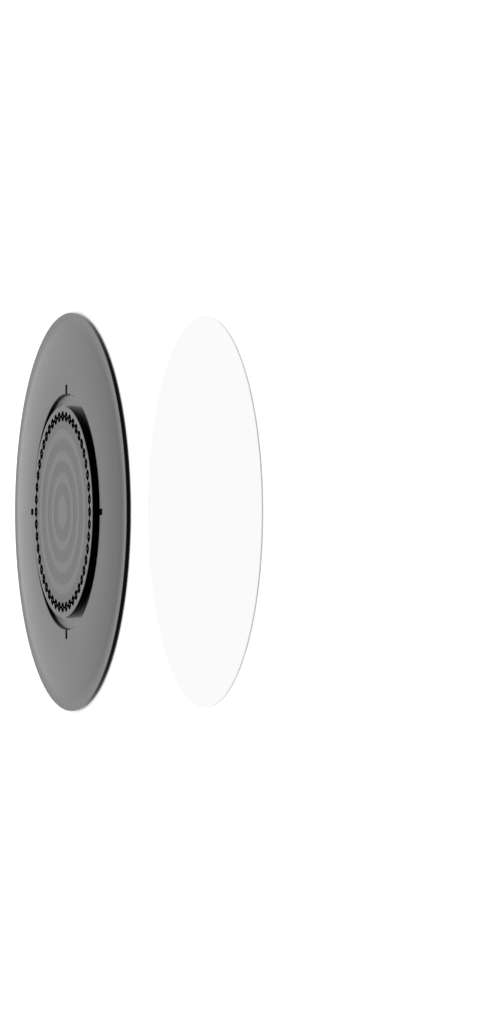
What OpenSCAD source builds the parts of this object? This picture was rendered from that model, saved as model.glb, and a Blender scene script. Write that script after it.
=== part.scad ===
// Adhesive magnetic phone patch: a thin moulded disc with a toothed magnetic boss, and its loose
// adhesive disc. Millimetres. The patch's back lies in the plane z = 0, centred on the Z axis, and its
// boss points to +Z.

/* [Flange] */
// Diameter of the patch
patch_d = 65; // [60:0.5:80]
// Height of the rim, and of the flat land on top of it
rim_h = 0.77; // [0.6:0.01:0.9]
// Width of the flat land inside the rim
rim_land_w = 0.8; // [0.5:0.1:1.5]
// Height of the flange at its inner edge, where the dome starts
dome_h = 1.36; // [1.2:0.02:1.5]
// Width of the hollow sweep that leads the dome into the rim land
dome_foot_w = 2.1; // [1:0.1:3]
// Chamfer round the back edge
back_chamfer = 0.22; // [0.1:0.02:0.4]
// Small chamfer that breaks the sharp edges of the rim, the sunk ring and the boss
edge_break = 0.06; // [0.02:0.01:0.1]

/* [Sunk ring round the boss] */
// Width of the sunk ring
sink_w = 2; // [1.4:0.1:2.2]
// Height of its floor above the back
sink_floor_h = 0.6; // [0.4:0.05:0.8]
// Hollow radius where the floor meets the flange
sink_fillet = 0.35; // [0.2:0.05:0.5]
// Hollow radius where the floor meets the boss
boss_fillet = 0.08; // [0.04:0.02:0.3]
// Number of alignment notches
notches = 4; // [2:1:8]
// Width of a notch
notch_w = 1.05; // [0.6:0.05:1.6]
// Length of a notch, outwards from the sunk ring
notch_l = 1.5; // [1:0.1:3]

/* [Boss ring] */
// Diameter of the boss
boss_d = 34.5; // [32:0.1:42]
// Height of the boss above the back
boss_h = 1.98; // [1.8:0.02:2.4]
// Thickness of the toothed lip that holds the core in, and depth of the cells
lip_t = 1.1; // [0.8:0.05:1.2]
// Wall of the boss below the lip
boss_wall = 0.55; // [0.45:0.05:0.8]

/* [Teeth and cells] */
// Number of teeth on the boss ring, of the teeth that face them on the core, and of the cells between
teeth = 48; // [36:4:52]
// Distance from the edge of the boss in to the middle of a cell
cell_inset = 1.65; // [1.6:0.05:2]
// Diameter of a cell
cell_d = 1.7; // [1.4:0.05:1.8]
// Gap between the tips of facing teeth
tip_gap = 0.38; // [0.3:0.02:0.6]
// Diameter of the pin in the middle of a cell
pin_d = 0.25; // [0.2:0.05:0.5]

/* [Core face] */
// Radius of the round field in the middle
field_r = 2.7; // [2:0.1:3.5]
// Number of rings round it
rings = 3; // [1:1:3]
// Width of a ring
ring_w = 1.5; // [1:0.1:2]
// Distance from one ring to the next
ring_pitch = 3.55; // [3:0.05:3.6]
// Gap between the field and the first ring
field_gap = 2.15; // [1.5:0.05:2.5]
// How far the field and the rings stand out of the core's face
ring_relief = 0.01; // [0.01:0.01:0.05]

/* [Magnets and yoke] */
// Number of magnets on the circle
magnets = 8; // [4:1:8]
// Diameter of a magnet on the circle
magnet_d = 6; // [4:0.5:6]
// Radius of the circle that their centres lie on
magnet_circle_r = 10.6; // [9.5:0.1:11]
// Diameter of the magnet in the middle
centre_magnet_d = 10; // [6:0.5:11]
// Thickness of every magnet
magnet_t = 1; // [0.6:0.1:1.2]
// Thickness of the steel plate behind them
yoke_t = 0.3; // [0.2:0.05:0.4]
// Clearance round and over a magnet in its pocket
pocket_clearance = 0.05; // [0.02:0.01:0.1]
// Clearance round the core's foot and the plate in the bore of the disc
bore_clearance = 0.1; // [0.05:0.01:0.15]

/* [Adhesive disc] */
// Diameter of the adhesive disc
adhesive_d = 61.5; // [58:0.5:78]
// Thickness of the adhesive disc
adhesive_t = 0.25; // [0.15:0.05:0.5]
// Gap between the patch and the adhesive disc, which lies beside it
loose_gap = 10; // [5:0.25:30]

/* [Hidden] */
$fn = 192;
crown_steps = 20;
sweep_steps = 8;
fillet_steps = 6;
cell_facets = 32;
overcut = 1;
patch_r = patch_d / 2;
boss_r = boss_d / 2;
sink_r = boss_r + sink_w;

// Two arcs that meet smoothly make the dome: a wide one that starts level at the sunk ring, and a tight
// hollow one that ends level at the rim land. Both turn through the same small angle.
dome_start_r = sink_r + edge_break;
land_r = patch_r - rim_land_w;
dome_foot_r = land_r - dome_foot_w;
dome_angle = 2 * atan((dome_h - rim_h) / (land_r - dome_start_r));
crown_arc_r = (dome_foot_r - dome_start_r) / sin(dome_angle);
sweep_arc_r = dome_foot_w / sin(dome_angle);
sweep_centre = [land_r, rim_h + sweep_arc_r];
crown_centre = [dome_start_r, dome_h - crown_arc_r];
sink_fillet_centre = [sink_r - sink_fillet, sink_floor_h + sink_fillet];
boss_fillet_centre = [boss_r + boss_fillet, sink_floor_h + boss_fillet];

// The core is pushed in from behind: its foot stops under the lip, and the plate closes the bore.
lip_h = boss_h - lip_t;
bore_r = boss_r - boss_wall;
foot_r = bore_r - bore_clearance;
cell_circle_r = boss_r - cell_inset;
core_face_h = boss_h - ring_relief;
ring_start_r = field_r + field_gap;
pocket_t = magnet_t + pocket_clearance;
adhesive_x = patch_r + loose_gap + adhesive_d / 2;

// Points along an arc, from one angle to another
function arc(centre, radius, from, to, steps) = [
    for (i = [0:steps])
        let (angle = from + (to - from) * i / steps)
            centre + radius * [cos(angle), sin(angle)]
];

// Top of the flange in half section, from the rim land inwards to the edge of the sunk ring
function dome_points() = concat(
    arc(sweep_centre, sweep_arc_r, 270, 270 - dome_angle, sweep_steps),
    arc(crown_centre, crown_arc_r, 90 - dome_angle * (1 - 1 / crown_steps), 90, crown_steps - 1)
);

// Sunk ring in half section, from the foot of its outer wall inwards to the foot of the boss
function sink_points() = concat(
    arc(sink_fillet_centre, sink_fillet, 360, 270, fillet_steps),
    arc(boss_fillet_centre, boss_fillet, 270, 180, fillet_steps)
);

module disc_section() {
    polygon(concat(
        [
            [0, 0],
            [patch_r - back_chamfer, 0],
            [patch_r, back_chamfer],
            [patch_r, rim_h - edge_break],
            [patch_r - edge_break, rim_h]
        ],
        dome_points(),
        [[sink_r, dome_h - edge_break]],
        sink_points(),
        [
            [boss_r, boss_h - edge_break],
            [boss_r - edge_break, boss_h],
            [0, boss_h]
        ]
    ));
}

module notch() {
    translate([boss_r + sink_w / 2, -notch_w / 2, sink_floor_h])
        cube([sink_w / 2 + notch_l, notch_w, dome_h]);
}

// The first of the cells lies on the X axis.
module at_cells() {
    for (i = [0:teeth - 1])
        rotate([0, 0, i * 360 / teeth])
            translate([cell_circle_r, 0, 0])
                children();
}

// Half of each cell is cut into the boss ring, and the other half into the core.
module boss_opening() {
    circle(r = cell_circle_r + tip_gap / 2);
    at_cells()
        circle(d = cell_d, $fn = cell_facets);
}

module core_outline() {
    difference() {
        circle(r = cell_circle_r - tip_gap / 2);
        at_cells()
            circle(d = cell_d, $fn = cell_facets);
    }
}

module base_disc() {
    color("#2b2b2b")
        difference() {
            rotate_extrude()
                disc_section();
            for (i = [0:notches - 1])
                rotate([0, 0, i * 360 / notches])
                    notch();
            translate([0, 0, -overcut])
                cylinder(h = overcut + lip_h, r = bore_r);
            linear_extrude(boss_h + overcut)
                boss_opening();
        }
}

module face_rings() {
    translate([0, 0, core_face_h])
        cylinder(h = ring_relief, r = field_r);
    for (i = [0:rings - 1])
        translate([0, 0, core_face_h])
            difference() {
                cylinder(h = ring_relief, r = ring_start_r + i * ring_pitch + ring_w);
                translate([0, 0, -overcut])
                    cylinder(h = ring_relief + 2 * overcut, r = ring_start_r + i * ring_pitch);
            }
}

module toothed_core() {
    color("#333333")
        difference() {
            union() {
                translate([0, 0, yoke_t])
                    cylinder(h = lip_h - yoke_t, r = foot_r);
                translate([0, 0, yoke_t])
                    linear_extrude(core_face_h - yoke_t)
                        core_outline();
                translate([0, 0, yoke_t])
                    at_cells()
                        cylinder(h = core_face_h - yoke_t, d = pin_d, $fn = cell_facets);
                face_rings();
            }
            translate([0, 0, yoke_t - overcut]) {
                cylinder(h = overcut + pocket_t, d = centre_magnet_d + 2 * pocket_clearance);
                for (i = [1:magnets])
                    at_magnet(i)
                        cylinder(h = overcut + pocket_t, d = magnet_d + 2 * pocket_clearance);
            }
        }
}

module at_magnet(i) {
    rotate([0, 0, (i - 1) * 360 / magnets])
        translate([magnet_circle_r, 0, 0])
            children();
}

module magnet(i) {
    color("#c9c9cc")
        at_magnet(i)
            translate([0, 0, yoke_t])
                cylinder(h = magnet_t, d = magnet_d);
}

module centre_magnet() {
    color("#c9c9cc")
        translate([0, 0, yoke_t])
            cylinder(h = magnet_t, d = centre_magnet_d);
}

module yoke_plate() {
    color("#9a9ca0")
        cylinder(h = yoke_t, r = foot_r);
}

module adhesive_disc() {
    color("#f7f7f7")
        translate([adhesive_x, 0, 0])
            cylinder(h = adhesive_t, d = adhesive_d);
}

base_disc();
toothed_core();
centre_magnet();
for (i = [1:magnets])
    magnet(i);
yoke_plate();
adhesive_disc();
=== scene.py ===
import math

import bpy
from mathutils import Matrix, Vector


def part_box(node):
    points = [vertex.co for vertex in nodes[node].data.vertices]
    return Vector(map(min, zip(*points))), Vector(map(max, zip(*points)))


# lengths are in metres, apart from the camera's sensor and lens, which are in millimetres
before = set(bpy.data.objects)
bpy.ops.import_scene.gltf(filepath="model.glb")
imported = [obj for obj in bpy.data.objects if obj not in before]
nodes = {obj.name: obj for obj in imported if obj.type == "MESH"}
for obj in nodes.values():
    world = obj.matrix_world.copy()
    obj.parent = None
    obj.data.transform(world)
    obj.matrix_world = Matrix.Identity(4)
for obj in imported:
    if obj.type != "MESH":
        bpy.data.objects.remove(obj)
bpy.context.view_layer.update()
print("frame loaded:", ", ".join(sorted(nodes)))


# small helpers for node trees

def addNode(tree, kind, **settings):
    made = tree.nodes.new(kind)
    for name, value in settings.items():
        setattr(made, name, value)
    return made


def feed(tree, target, source):
    # a socket gets either another node's output or a plain value
    if isinstance(source, bpy.types.NodeSocket):
        tree.links.new(source, target)
    elif source is not None:
        target.default_value = source


def calc(tree, operation, a, b=None, c=None):
    made = addNode(tree, "ShaderNodeMath", operation=operation)
    for socket, value in zip(made.inputs, (a, b, c)):
        feed(tree, socket, value)
    return made.outputs["Value"]


def invert(tree, mask):
    return calc(tree, "SUBTRACT", 1.0, mask)


def climb(tree, value, low, high):
    # how far the value has come past the low end, held at the high end
    held = calc(tree, "MINIMUM", value, high)
    return calc(tree, "MAXIMUM", calc(tree, "SUBTRACT", held, low), 0.0)


def softStep(tree, value, edge, softness):
    # 0 below the edge, 1 above it, blended over the softness
    made = addNode(tree, "ShaderNodeMapRange", interpolation_type="SMOOTHSTEP")
    feed(tree, made.inputs["Value"], value)
    feed(tree, made.inputs["From Min"], calc(tree, "SUBTRACT", edge, softness))
    feed(tree, made.inputs["From Max"], calc(tree, "ADD", edge, softness))
    return made.outputs["Result"]


def stretchVector(tree, vector, factors):
    made = addNode(tree, "ShaderNodeVectorMath", operation="MULTIPLY")
    feed(tree, made.inputs[0], vector)
    feed(tree, made.inputs[1], factors)
    return made.outputs["Vector"]


def upward(tree, vector):
    parts = addNode(tree, "ShaderNodeSeparateXYZ")
    feed(tree, parts.inputs["Vector"], vector)
    return parts.outputs["Z"]


def axisDistance(tree, vector):
    # distance from the boss's axis
    length = addNode(tree, "ShaderNodeVectorMath", operation="LENGTH")
    feed(tree, length.inputs[0], stretchVector(tree, vector, (1, 1, 0)))
    return length.outputs["Value"]


def noise(tree, vector, scale, detail, sharpness=0.5):
    made = addNode(tree, "ShaderNodeTexNoise")
    feed(tree, made.inputs["Vector"], vector)
    feed(tree, made.inputs["Scale"], scale)
    feed(tree, made.inputs["Detail"], detail)
    feed(tree, made.inputs["Roughness"], sharpness)
    return made.outputs["Fac"]


def drift(tree, cloud, amount, level):
    # the level, moved up and down as a noise goes above and below its mean of a half
    return calc(tree, "MULTIPLY_ADD", calc(tree, "SUBTRACT", cloud, 0.5), amount, level)


def mix(tree, kind, amount, a, b):
    # the mix node keeps a set of sockets for each kind, so they are found by identifier
    made = addNode(tree, "ShaderNodeMix", data_type=kind)
    ending = {"RGBA": "Color", "FLOAT": "Float"}[kind]
    inputs = {socket.identifier: socket for socket in made.inputs}
    outputs = {socket.identifier: socket for socket in made.outputs}
    feed(tree, inputs["Factor_Float"], amount)
    feed(tree, inputs["A_" + ending], a)
    feed(tree, inputs["B_" + ending], b)
    return outputs["Result_" + ending]


def bump(tree, height, depth=1.0, normal=None):
    # the depth is what a height of 1 stands for, in metres
    made = addNode(tree, "ShaderNodeBump")
    feed(tree, made.inputs["Height"], height)
    feed(tree, made.inputs["Distance"], depth)
    feed(tree, made.inputs["Normal"], normal)
    return made.outputs["Normal"]


def newGroup(name, vector, numbers, outputs):
    # a node group with one vector and some numbers as inputs, and numbers as outputs
    tree = bpy.data.node_groups.new(name, "ShaderNodeTree")
    tree.interface.new_socket(name=vector, in_out="INPUT", socket_type="NodeSocketVector")
    for label in numbers:
        tree.interface.new_socket(name=label, in_out="INPUT", socket_type="NodeSocketFloat")
    for label in outputs:
        tree.interface.new_socket(name=label, in_out="OUTPUT", socket_type="NodeSocketFloat")
    given = addNode(tree, "NodeGroupInput").outputs
    wanted = addNode(tree, "NodeGroupOutput").inputs
    return tree, given, wanted


def placeGroup(tree, group, **values):
    made = addNode(tree, "ShaderNodeGroup", node_tree=group)
    for label, value in values.items():
        feed(tree, made.inputs[label], value)
    return made.outputs


def newMaterial(name):
    made = bpy.data.materials.new(name)
    made.use_nodes = True
    tree = made.node_tree
    return made, tree, tree.nodes["Principled BSDF"]


def objectPlace(tree):
    return addNode(tree, "ShaderNodeTexCoord").outputs["Object"]


def grey(level):
    return (level, level, level, 1.0)


def finish(node, material):
    node.data.materials.clear()
    node.data.materials.append(material)


# shared effects

grainLook = {
    "detail": 3.0,
    "sharpness": 0.6,
    "mottleDetail": 2.0,
}

wallLook = {
    "edge": 0.5,  # a surface is a wall up to this rise of its normal
    "softness": 0.3,
    "underEdge": 0.85,  # and down to this fall of it, so that a back is no wall
    "underSoftness": 0.1,
}


def buildMouldGrain(look):
    # the fine spark-eroded grain of a moulding tool, with a slower mottle over it
    tree, given, wanted = newGroup(
        "mouldGrain", "Vector", ("GrainScale", "MottleScale"), ("Height", "Mottle")
    )
    fine = noise(tree, given["Vector"], given["GrainScale"], look["detail"], look["sharpness"])
    feed(tree, wanted["Height"], fine)
    feed(tree, wanted["Mottle"], noise(tree, given["Vector"], given["MottleScale"], look["mottleDetail"]))
    return tree


def buildHollowSweep():
    # height of a hollow that starts level, bends upwards and then rises evenly, less the crease where the
    # dome meets the rim's land, with a mask of painted shade at the foot of the boss
    tree, given, wanted = newGroup(
        "hollowSweep",
        "Vector",
        (
            "Start", "Bend", "End", "Radius", "FootReach", "FootHeight", "FootSoftness",
            "CreaseEdge", "CreaseSoftness", "CreaseDepth",
        ),
        ("Height", "FootShade"),
    )
    radius = axisDistance(tree, given["Vector"])
    bend = climb(tree, radius, given["Start"], given["Bend"])
    beyond = climb(tree, radius, given["Bend"], given["End"])
    slope = calc(tree, "DIVIDE", bend, given["Radius"])
    run = calc(tree, "ADD", calc(tree, "DIVIDE", bend, 2.0), beyond)
    crease = softStep(tree, radius, given["CreaseEdge"], given["CreaseSoftness"])
    crease = calc(tree, "MULTIPLY", crease, given["CreaseDepth"])
    feed(tree, wanted["Height"], calc(tree, "SUBTRACT", calc(tree, "MULTIPLY", slope, run), crease))
    height = upward(tree, given["Vector"])
    near = invert(tree, softStep(tree, radius, given["FootReach"], given["FootSoftness"]))
    low = invert(tree, softStep(tree, height, given["FootHeight"], given["FootSoftness"]))
    feed(tree, wanted["FootShade"], calc(tree, "MULTIPLY", near, low))
    return tree


def buildRoundBands():
    # mask of a round field with evenly spaced rings round it
    tree, given, wanted = newGroup(
        "roundBands", "Vector", ("Field", "Start", "Width", "Pitch", "Count", "Softness"), ("Mask",)
    )
    radius = axisDistance(tree, given["Vector"])
    field = invert(tree, softStep(tree, radius, given["Field"], given["Softness"]))
    halfWidth = calc(tree, "DIVIDE", given["Width"], 2.0)
    firstMiddle = calc(tree, "ADD", given["Start"], halfWidth)
    past = calc(tree, "SUBTRACT", radius, firstMiddle)
    nearest = calc(tree, "ROUND", calc(tree, "DIVIDE", past, given["Pitch"]))  # number of the nearest ring
    last = calc(tree, "SUBTRACT", given["Count"], 1.0)
    nearest = calc(tree, "MULTIPLY", climb(tree, nearest, 0.0, last), given["Pitch"])  # and its distance
    away = calc(tree, "ABSOLUTE", calc(tree, "SUBTRACT", past, nearest))
    rings = invert(tree, softStep(tree, away, halfWidth, given["Softness"]))
    feed(tree, wanted["Mask"], calc(tree, "MAXIMUM", field, rings))
    return tree


def buildUprightWalls():
    # mask of the surfaces that stand upright or hang over a little, such as the rim and the walls of the
    # sunk ring, which get painted shade
    tree, given, wanted = newGroup(
        "uprightWalls", "Normal", ("Edge", "Softness", "UnderEdge", "UnderSoftness"), ("Mask",)
    )
    rise = upward(tree, given["Normal"])
    over = softStep(tree, rise, given["Edge"], given["Softness"])
    fall = calc(tree, "MULTIPLY", rise, -1.0)
    under = softStep(tree, fall, given["UnderEdge"], given["UnderSoftness"])
    feed(tree, wanted["Mask"], invert(tree, calc(tree, "MAXIMUM", over, under)))
    return tree


mouldGrain = buildMouldGrain(grainLook)
hollowSweep = buildHollowSweep()
roundBands = buildRoundBands()
uprightWalls = buildUprightWalls()
print("shared effects built")


def wallMask(tree):
    facing = addNode(tree, "ShaderNodeNewGeometry").outputs["Normal"]
    return placeGroup(
        tree, uprightWalls, Normal=facing, Edge=wallLook["edge"], Softness=wallLook["softness"],
        UnderEdge=wallLook["underEdge"], UnderSoftness=wallLook["underSoftness"],
    )["Mask"]


def finishSatin(tree, shader, place, look, wallShadeMask, tone, roughness, normal=None):
    # a satin black moulding with fine grain and a slow mottle
    # the walls get a darker tone, which is painted shade, and are made metallic, so they are jet black where
    # they are met square on and only shine at a slant
    grain = placeGroup(
        tree, mouldGrain, Vector=place, GrainScale=look["grainScale"], MottleScale=look["mottleScale"]
    )
    tone = drift(tree, grain["Mottle"], look["toneDrift"], tone)
    # painted shade: the walls are given a darker tone than the faces
    tone = mix(tree, "FLOAT", wallShadeMask, tone, look["wallShadeTone"])
    roughness = drift(tree, grain["Mottle"], look["roughnessDrift"], roughness)
    roughness = mix(tree, "FLOAT", wallShadeMask, roughness, look["wallRoughness"])
    colour = addNode(tree, "ShaderNodeCombineColor")
    for channel in colour.inputs:
        feed(tree, channel, tone)
    feed(tree, shader.inputs["Base Color"], colour.outputs["Color"])
    feed(tree, shader.inputs["Metallic"], wallShadeMask)
    feed(tree, shader.inputs["Roughness"], roughness)
    feed(tree, shader.inputs["Specular IOR Level"], look["gloss"])
    feed(tree, shader.inputs["Normal"], bump(tree, grain["Height"], look["grainDepth"], normal))


# the moulded disc

discLook = {
    "tone": 0.012,
    "toneDrift": 0.003,
    "gloss": 0.5,
    "roughness": 0.2,
    "roughnessDrift": 0.03,
    "grainScale": 9000.0,
    "mottleScale": 160.0,
    "grainDepth": 0.000002,
    # painted shade: the darker tone given to the walls
    "wallShadeTone": 0.003,
    "wallRoughness": 0.2,
    "sweepStart": 0.0184,  # distance from the axis at which the sunk ring's floor begins to bend up
    "sweepBend": 0.01885,  # where it stops bending and rises evenly
    "sweepEnd": 0.01925,  # where it stops rising
    "sweepRadius": 0.0007,
    "footReach": 0.01745,  # painted shade: the boss's foot is as dark as a wall within this distance from the axis
    "footHeight": 0.0009,  # and below this height
    "footSoftness": 0.0001,
    "creaseEdge": 0.0303,  # distance from the axis of the crease at the foot of the dome
    "creaseSoftness": 0.0011,
    "creaseDepth": 0.000055,
}


def buildDiscMaterial(look):
    made, tree, shader = newMaterial("satinBlackDisc")
    place = objectPlace(tree)
    # the floor of the sunk ring sweeps up softly into its outer wall, and the dome ends at a soft crease
    sweep = placeGroup(
        tree, hollowSweep, Vector=place, Start=look["sweepStart"], Bend=look["sweepBend"],
        End=look["sweepEnd"], Radius=look["sweepRadius"], FootReach=look["footReach"],
        FootHeight=look["footHeight"], FootSoftness=look["footSoftness"], CreaseEdge=look["creaseEdge"],
        CreaseSoftness=look["creaseSoftness"], CreaseDepth=look["creaseDepth"],
    )
    # painted shade: the walls and the foot of the boss are painted dark
    wallShadeMask = calc(tree, "MAXIMUM", wallMask(tree), sweep["FootShade"])
    hollow = bump(tree, sweep["Height"])
    finishSatin(tree, shader, place, look, wallShadeMask, look["tone"], look["roughness"], hollow)
    return made


finish(nodes["base_disc"], buildDiscMaterial(discLook))
print("moulded disc finished")


# the toothed core, whose field and rings are a smoother finish than the face round them

coreLook = {
    "tone": 0.004,
    "toneDrift": 0.002,
    "gloss": 0.43,
    "roughness": 0.28,
    "roughnessDrift": 0.03,
    "grainScale": 9000.0,
    "mottleScale": 160.0,
    "grainDepth": 0.000002,
    # painted shade: the darker tone given to the walls
    "wallShadeTone": 0.003,
    "wallRoughness": 0.2,
    "fieldRadius": 0.0027,
    "rings": 3,
    "ringStart": 0.00485,  # inner radius of the first ring
    "ringWidth": 0.0015,
    "ringPitch": 0.00355,
    "ringSoftness": 0.0003,
    "ringTone": 0.014,
    "ringRoughness": 0.14,
}


def buildCoreMaterial(look):
    made, tree, shader = newMaterial("satinBlackCore")
    place = objectPlace(tree)
    mask = placeGroup(
        tree, roundBands, Vector=place, Field=look["fieldRadius"], Start=look["ringStart"],
        Width=look["ringWidth"], Pitch=look["ringPitch"], Count=look["rings"], Softness=look["ringSoftness"],
    )["Mask"]
    tone = mix(tree, "FLOAT", mask, look["tone"], look["ringTone"])
    roughness = mix(tree, "FLOAT", mask, look["roughness"], look["ringRoughness"])
    finishSatin(tree, shader, place, look, wallMask(tree), tone, roughness)
    return made


finish(nodes["toothed_core"], buildCoreMaterial(coreLook))
print("toothed core finished")


# the plated magnets

magnetLook = {
    "plating": (0.78, 0.78, 0.77, 1.0),
    "haze": (0.68, 0.68, 0.66, 1.0),
    "hazeScale": 900.0,
    "hazeDetail": 3.0,
    "roughness": 0.18,
    "roughnessDrift": 0.12,
}


def buildPlating(look):
    made, tree, shader = newMaterial("nickelPlate")
    haze = noise(tree, objectPlace(tree), look["hazeScale"], look["hazeDetail"])
    feed(tree, shader.inputs["Base Color"], mix(tree, "RGBA", haze, look["plating"], look["haze"]))
    feed(tree, shader.inputs["Metallic"], 1.0)
    feed(tree, shader.inputs["Roughness"], drift(tree, haze, look["roughnessDrift"], look["roughness"]))
    return made


plating = buildPlating(magnetLook)
for name in nodes:
    if "magnet" in name:
        finish(nodes[name], plating)
print("magnets finished")


# the rolled steel plate behind the magnets

plateLook = {
    "steel": (0.6, 0.61, 0.62, 1.0),
    "lines": (0.46, 0.47, 0.49, 1.0),
    "lineScale": 2500.0,
    "lineStretch": (0.03, 1, 1),  # the lines run along X
    "lineDetail": 4.0,
    "lineSharpness": 0.7,
    "lineDepth": 0.000002,
    "roughness": 0.34,
    "roughnessDrift": 0.16,
}


def buildSteel(look):
    made, tree, shader = newMaterial("rolledSteel")
    place = stretchVector(tree, objectPlace(tree), look["lineStretch"])
    lines = noise(tree, place, look["lineScale"], look["lineDetail"], look["lineSharpness"])
    feed(tree, shader.inputs["Base Color"], mix(tree, "RGBA", lines, look["steel"], look["lines"]))
    feed(tree, shader.inputs["Metallic"], 1.0)
    feed(tree, shader.inputs["Roughness"], drift(tree, lines, look["roughnessDrift"], look["roughness"]))
    feed(tree, shader.inputs["Normal"], bump(tree, lines, look["lineDepth"]))
    return made


finish(nodes["yoke_plate"], buildSteel(plateLook))
print("plate finished")


# the loose adhesive disc

adhesiveLook = {
    "tone": 0.962,
    "edgeShadeTone": 0.72,
    "roughness": 0.3,
    "rippleScale": 240.0,
    "rippleDetail": 1.0,
    "rippleDepth": 0.00001,
}


def buildAdhesive(look):
    made, tree, shader = newMaterial("milkyFilm")
    # painted shade: the film's side faces are painted a darker grey than its top
    colour = mix(tree, "RGBA", wallMask(tree), grey(look["tone"]), grey(look["edgeShadeTone"]))
    ripple = noise(tree, objectPlace(tree), look["rippleScale"], look["rippleDetail"])
    feed(tree, shader.inputs["Base Color"], colour)
    feed(tree, shader.inputs["Roughness"], look["roughness"])
    feed(tree, shader.inputs["Normal"], bump(tree, ripple, look["rippleDepth"]))
    return made


finish(nodes["adhesive_disc"], buildAdhesive(adhesiveLook))
print("adhesive disc finished")


# floor and light

stageLook = {
    "floorSize": 6.0,
    "floorDrop": 0.00001,
    "floorTone": 1.0,
    "floorLift": 0.3,
    "skyBack": 1.1,
    "skyFront": 0.3,
    "skyRise": 35.0,  # direction of the middle of its bright side, in degrees above the horizon
    "skyDarkFrom": -0.5,  # cosine of the angle from there at which it is darkest
    "skyFullFrom": 0.3,  # and at which it is brightest
}


def buildFloor(look):
    half = look["floorSize"] / 2
    level = -look["floorDrop"]
    mesh = bpy.data.meshes.new("floor")
    corners = [(-half, -half, level), (half, -half, level), (half, half, level), (-half, half, level)]
    mesh.from_pydata(corners, [], [(0, 1, 2, 3)])
    floor = bpy.data.objects.new("floor", mesh)
    bpy.context.scene.collection.objects.link(floor)
    made, tree, shader = newMaterial("paleFloor")
    feed(tree, shader.inputs["Base Color"], grey(look["floorTone"]))
    feed(tree, shader.inputs["Roughness"], 1.0)
    feed(tree, shader.inputs["Specular IOR Level"], 0.0)
    # a little of the backdrop's own white, seen directly and in gloss, so that the open floor is pure white
    rays = addNode(tree, "ShaderNodeLightPath").outputs
    seen = calc(tree, "MAXIMUM", rays["Is Camera Ray"], rays["Is Glossy Ray"])
    seen = calc(tree, "MAXIMUM", seen, rays["Is Transmission Ray"])
    feed(tree, shader.inputs["Emission Color"], grey(1.0))
    feed(tree, shader.inputs["Emission Strength"], calc(tree, "MULTIPLY", seen, look["floorLift"]))
    mesh.materials.append(made)


def buildSky(look):
    # a soft white surround: full above and behind the patch, falling off towards the low front
    world = bpy.data.worlds.new("studio")
    bpy.context.scene.world = world
    world.use_nodes = True
    tree = world.node_tree
    rise = math.radians(look["skyRise"])
    facing = addNode(tree, "ShaderNodeVectorMath", operation="DOT_PRODUCT")
    feed(tree, facing.inputs[0], addNode(tree, "ShaderNodeTexCoord").outputs["Generated"])
    feed(tree, facing.inputs[1], (-math.cos(rise), 0, math.sin(rise)))
    level = addNode(tree, "ShaderNodeMapRange", interpolation_type="SMOOTHSTEP")
    feed(tree, level.inputs["Value"], facing.outputs["Value"])
    feed(tree, level.inputs["From Min"], look["skyDarkFrom"])
    feed(tree, level.inputs["From Max"], look["skyFullFrom"])
    feed(tree, level.inputs["To Min"], look["skyFront"])
    feed(tree, level.inputs["To Max"], look["skyBack"])
    background = tree.nodes["Background"]
    feed(tree, background.inputs["Color"], grey(1.0))
    feed(tree, background.inputs["Strength"], level.outputs["Result"])


buildFloor(stageLook)
buildSky(stageLook)
bpy.context.scene.view_settings.view_transform = "Standard"
print("floor and light built")


# camera: the photograph looks at the patch from 17 degrees above its plane, with that plane upright in the
# picture

cameraLook = {
    "imageWidth": 486,
    "imageHeight": 1024,
    "sensor": 36.0,
    "lens": 400.0,
    "nearest": 0.01,
    "farthest": 100.0,
    "elevation": 17.15,
    "discHeight": 398.4,  # height of the patch in the picture, in pixels
    "discCentre": (69.75, 511.88),  # where the middle of its rim comes in the picture, in pixels
    "rimHeight": 0.00077,
}


def buildCamera(look):
    low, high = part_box("base_disc")
    diameter = high.y - low.y
    elevation = math.radians(look["elevation"])
    back = Vector((math.cos(elevation), 0, math.sin(elevation)))
    right = Vector((math.sin(elevation), 0, -math.cos(elevation)))
    up = Vector((0, 1, 0))
    focal = look["lens"] / look["sensor"] * look["imageHeight"]  # focal length, in pixels
    distance = focal * diameter / look["discHeight"]
    pixel = distance / focal  # size of a pixel at the patch, in metres
    aside = (look["imageWidth"] / 2 - look["discCentre"][0]) * pixel
    above = (look["discCentre"][1] - look["imageHeight"] / 2) * pixel
    data = bpy.data.cameras.new("camera")
    data.sensor_width = look["sensor"]
    data.lens = look["lens"]
    data.clip_start = look["nearest"]
    data.clip_end = look["farthest"]
    camera = bpy.data.objects.new("camera", data)
    bpy.context.scene.collection.objects.link(camera)
    place = Vector((0, 0, look["rimHeight"])) + back * distance + right * aside + up * above
    turn = Matrix((right, up, back)).transposed().to_4x4()
    camera.matrix_world = Matrix.Translation(place) @ turn
    bpy.context.scene.camera = camera


buildCamera(cameraLook)
print("camera placed")
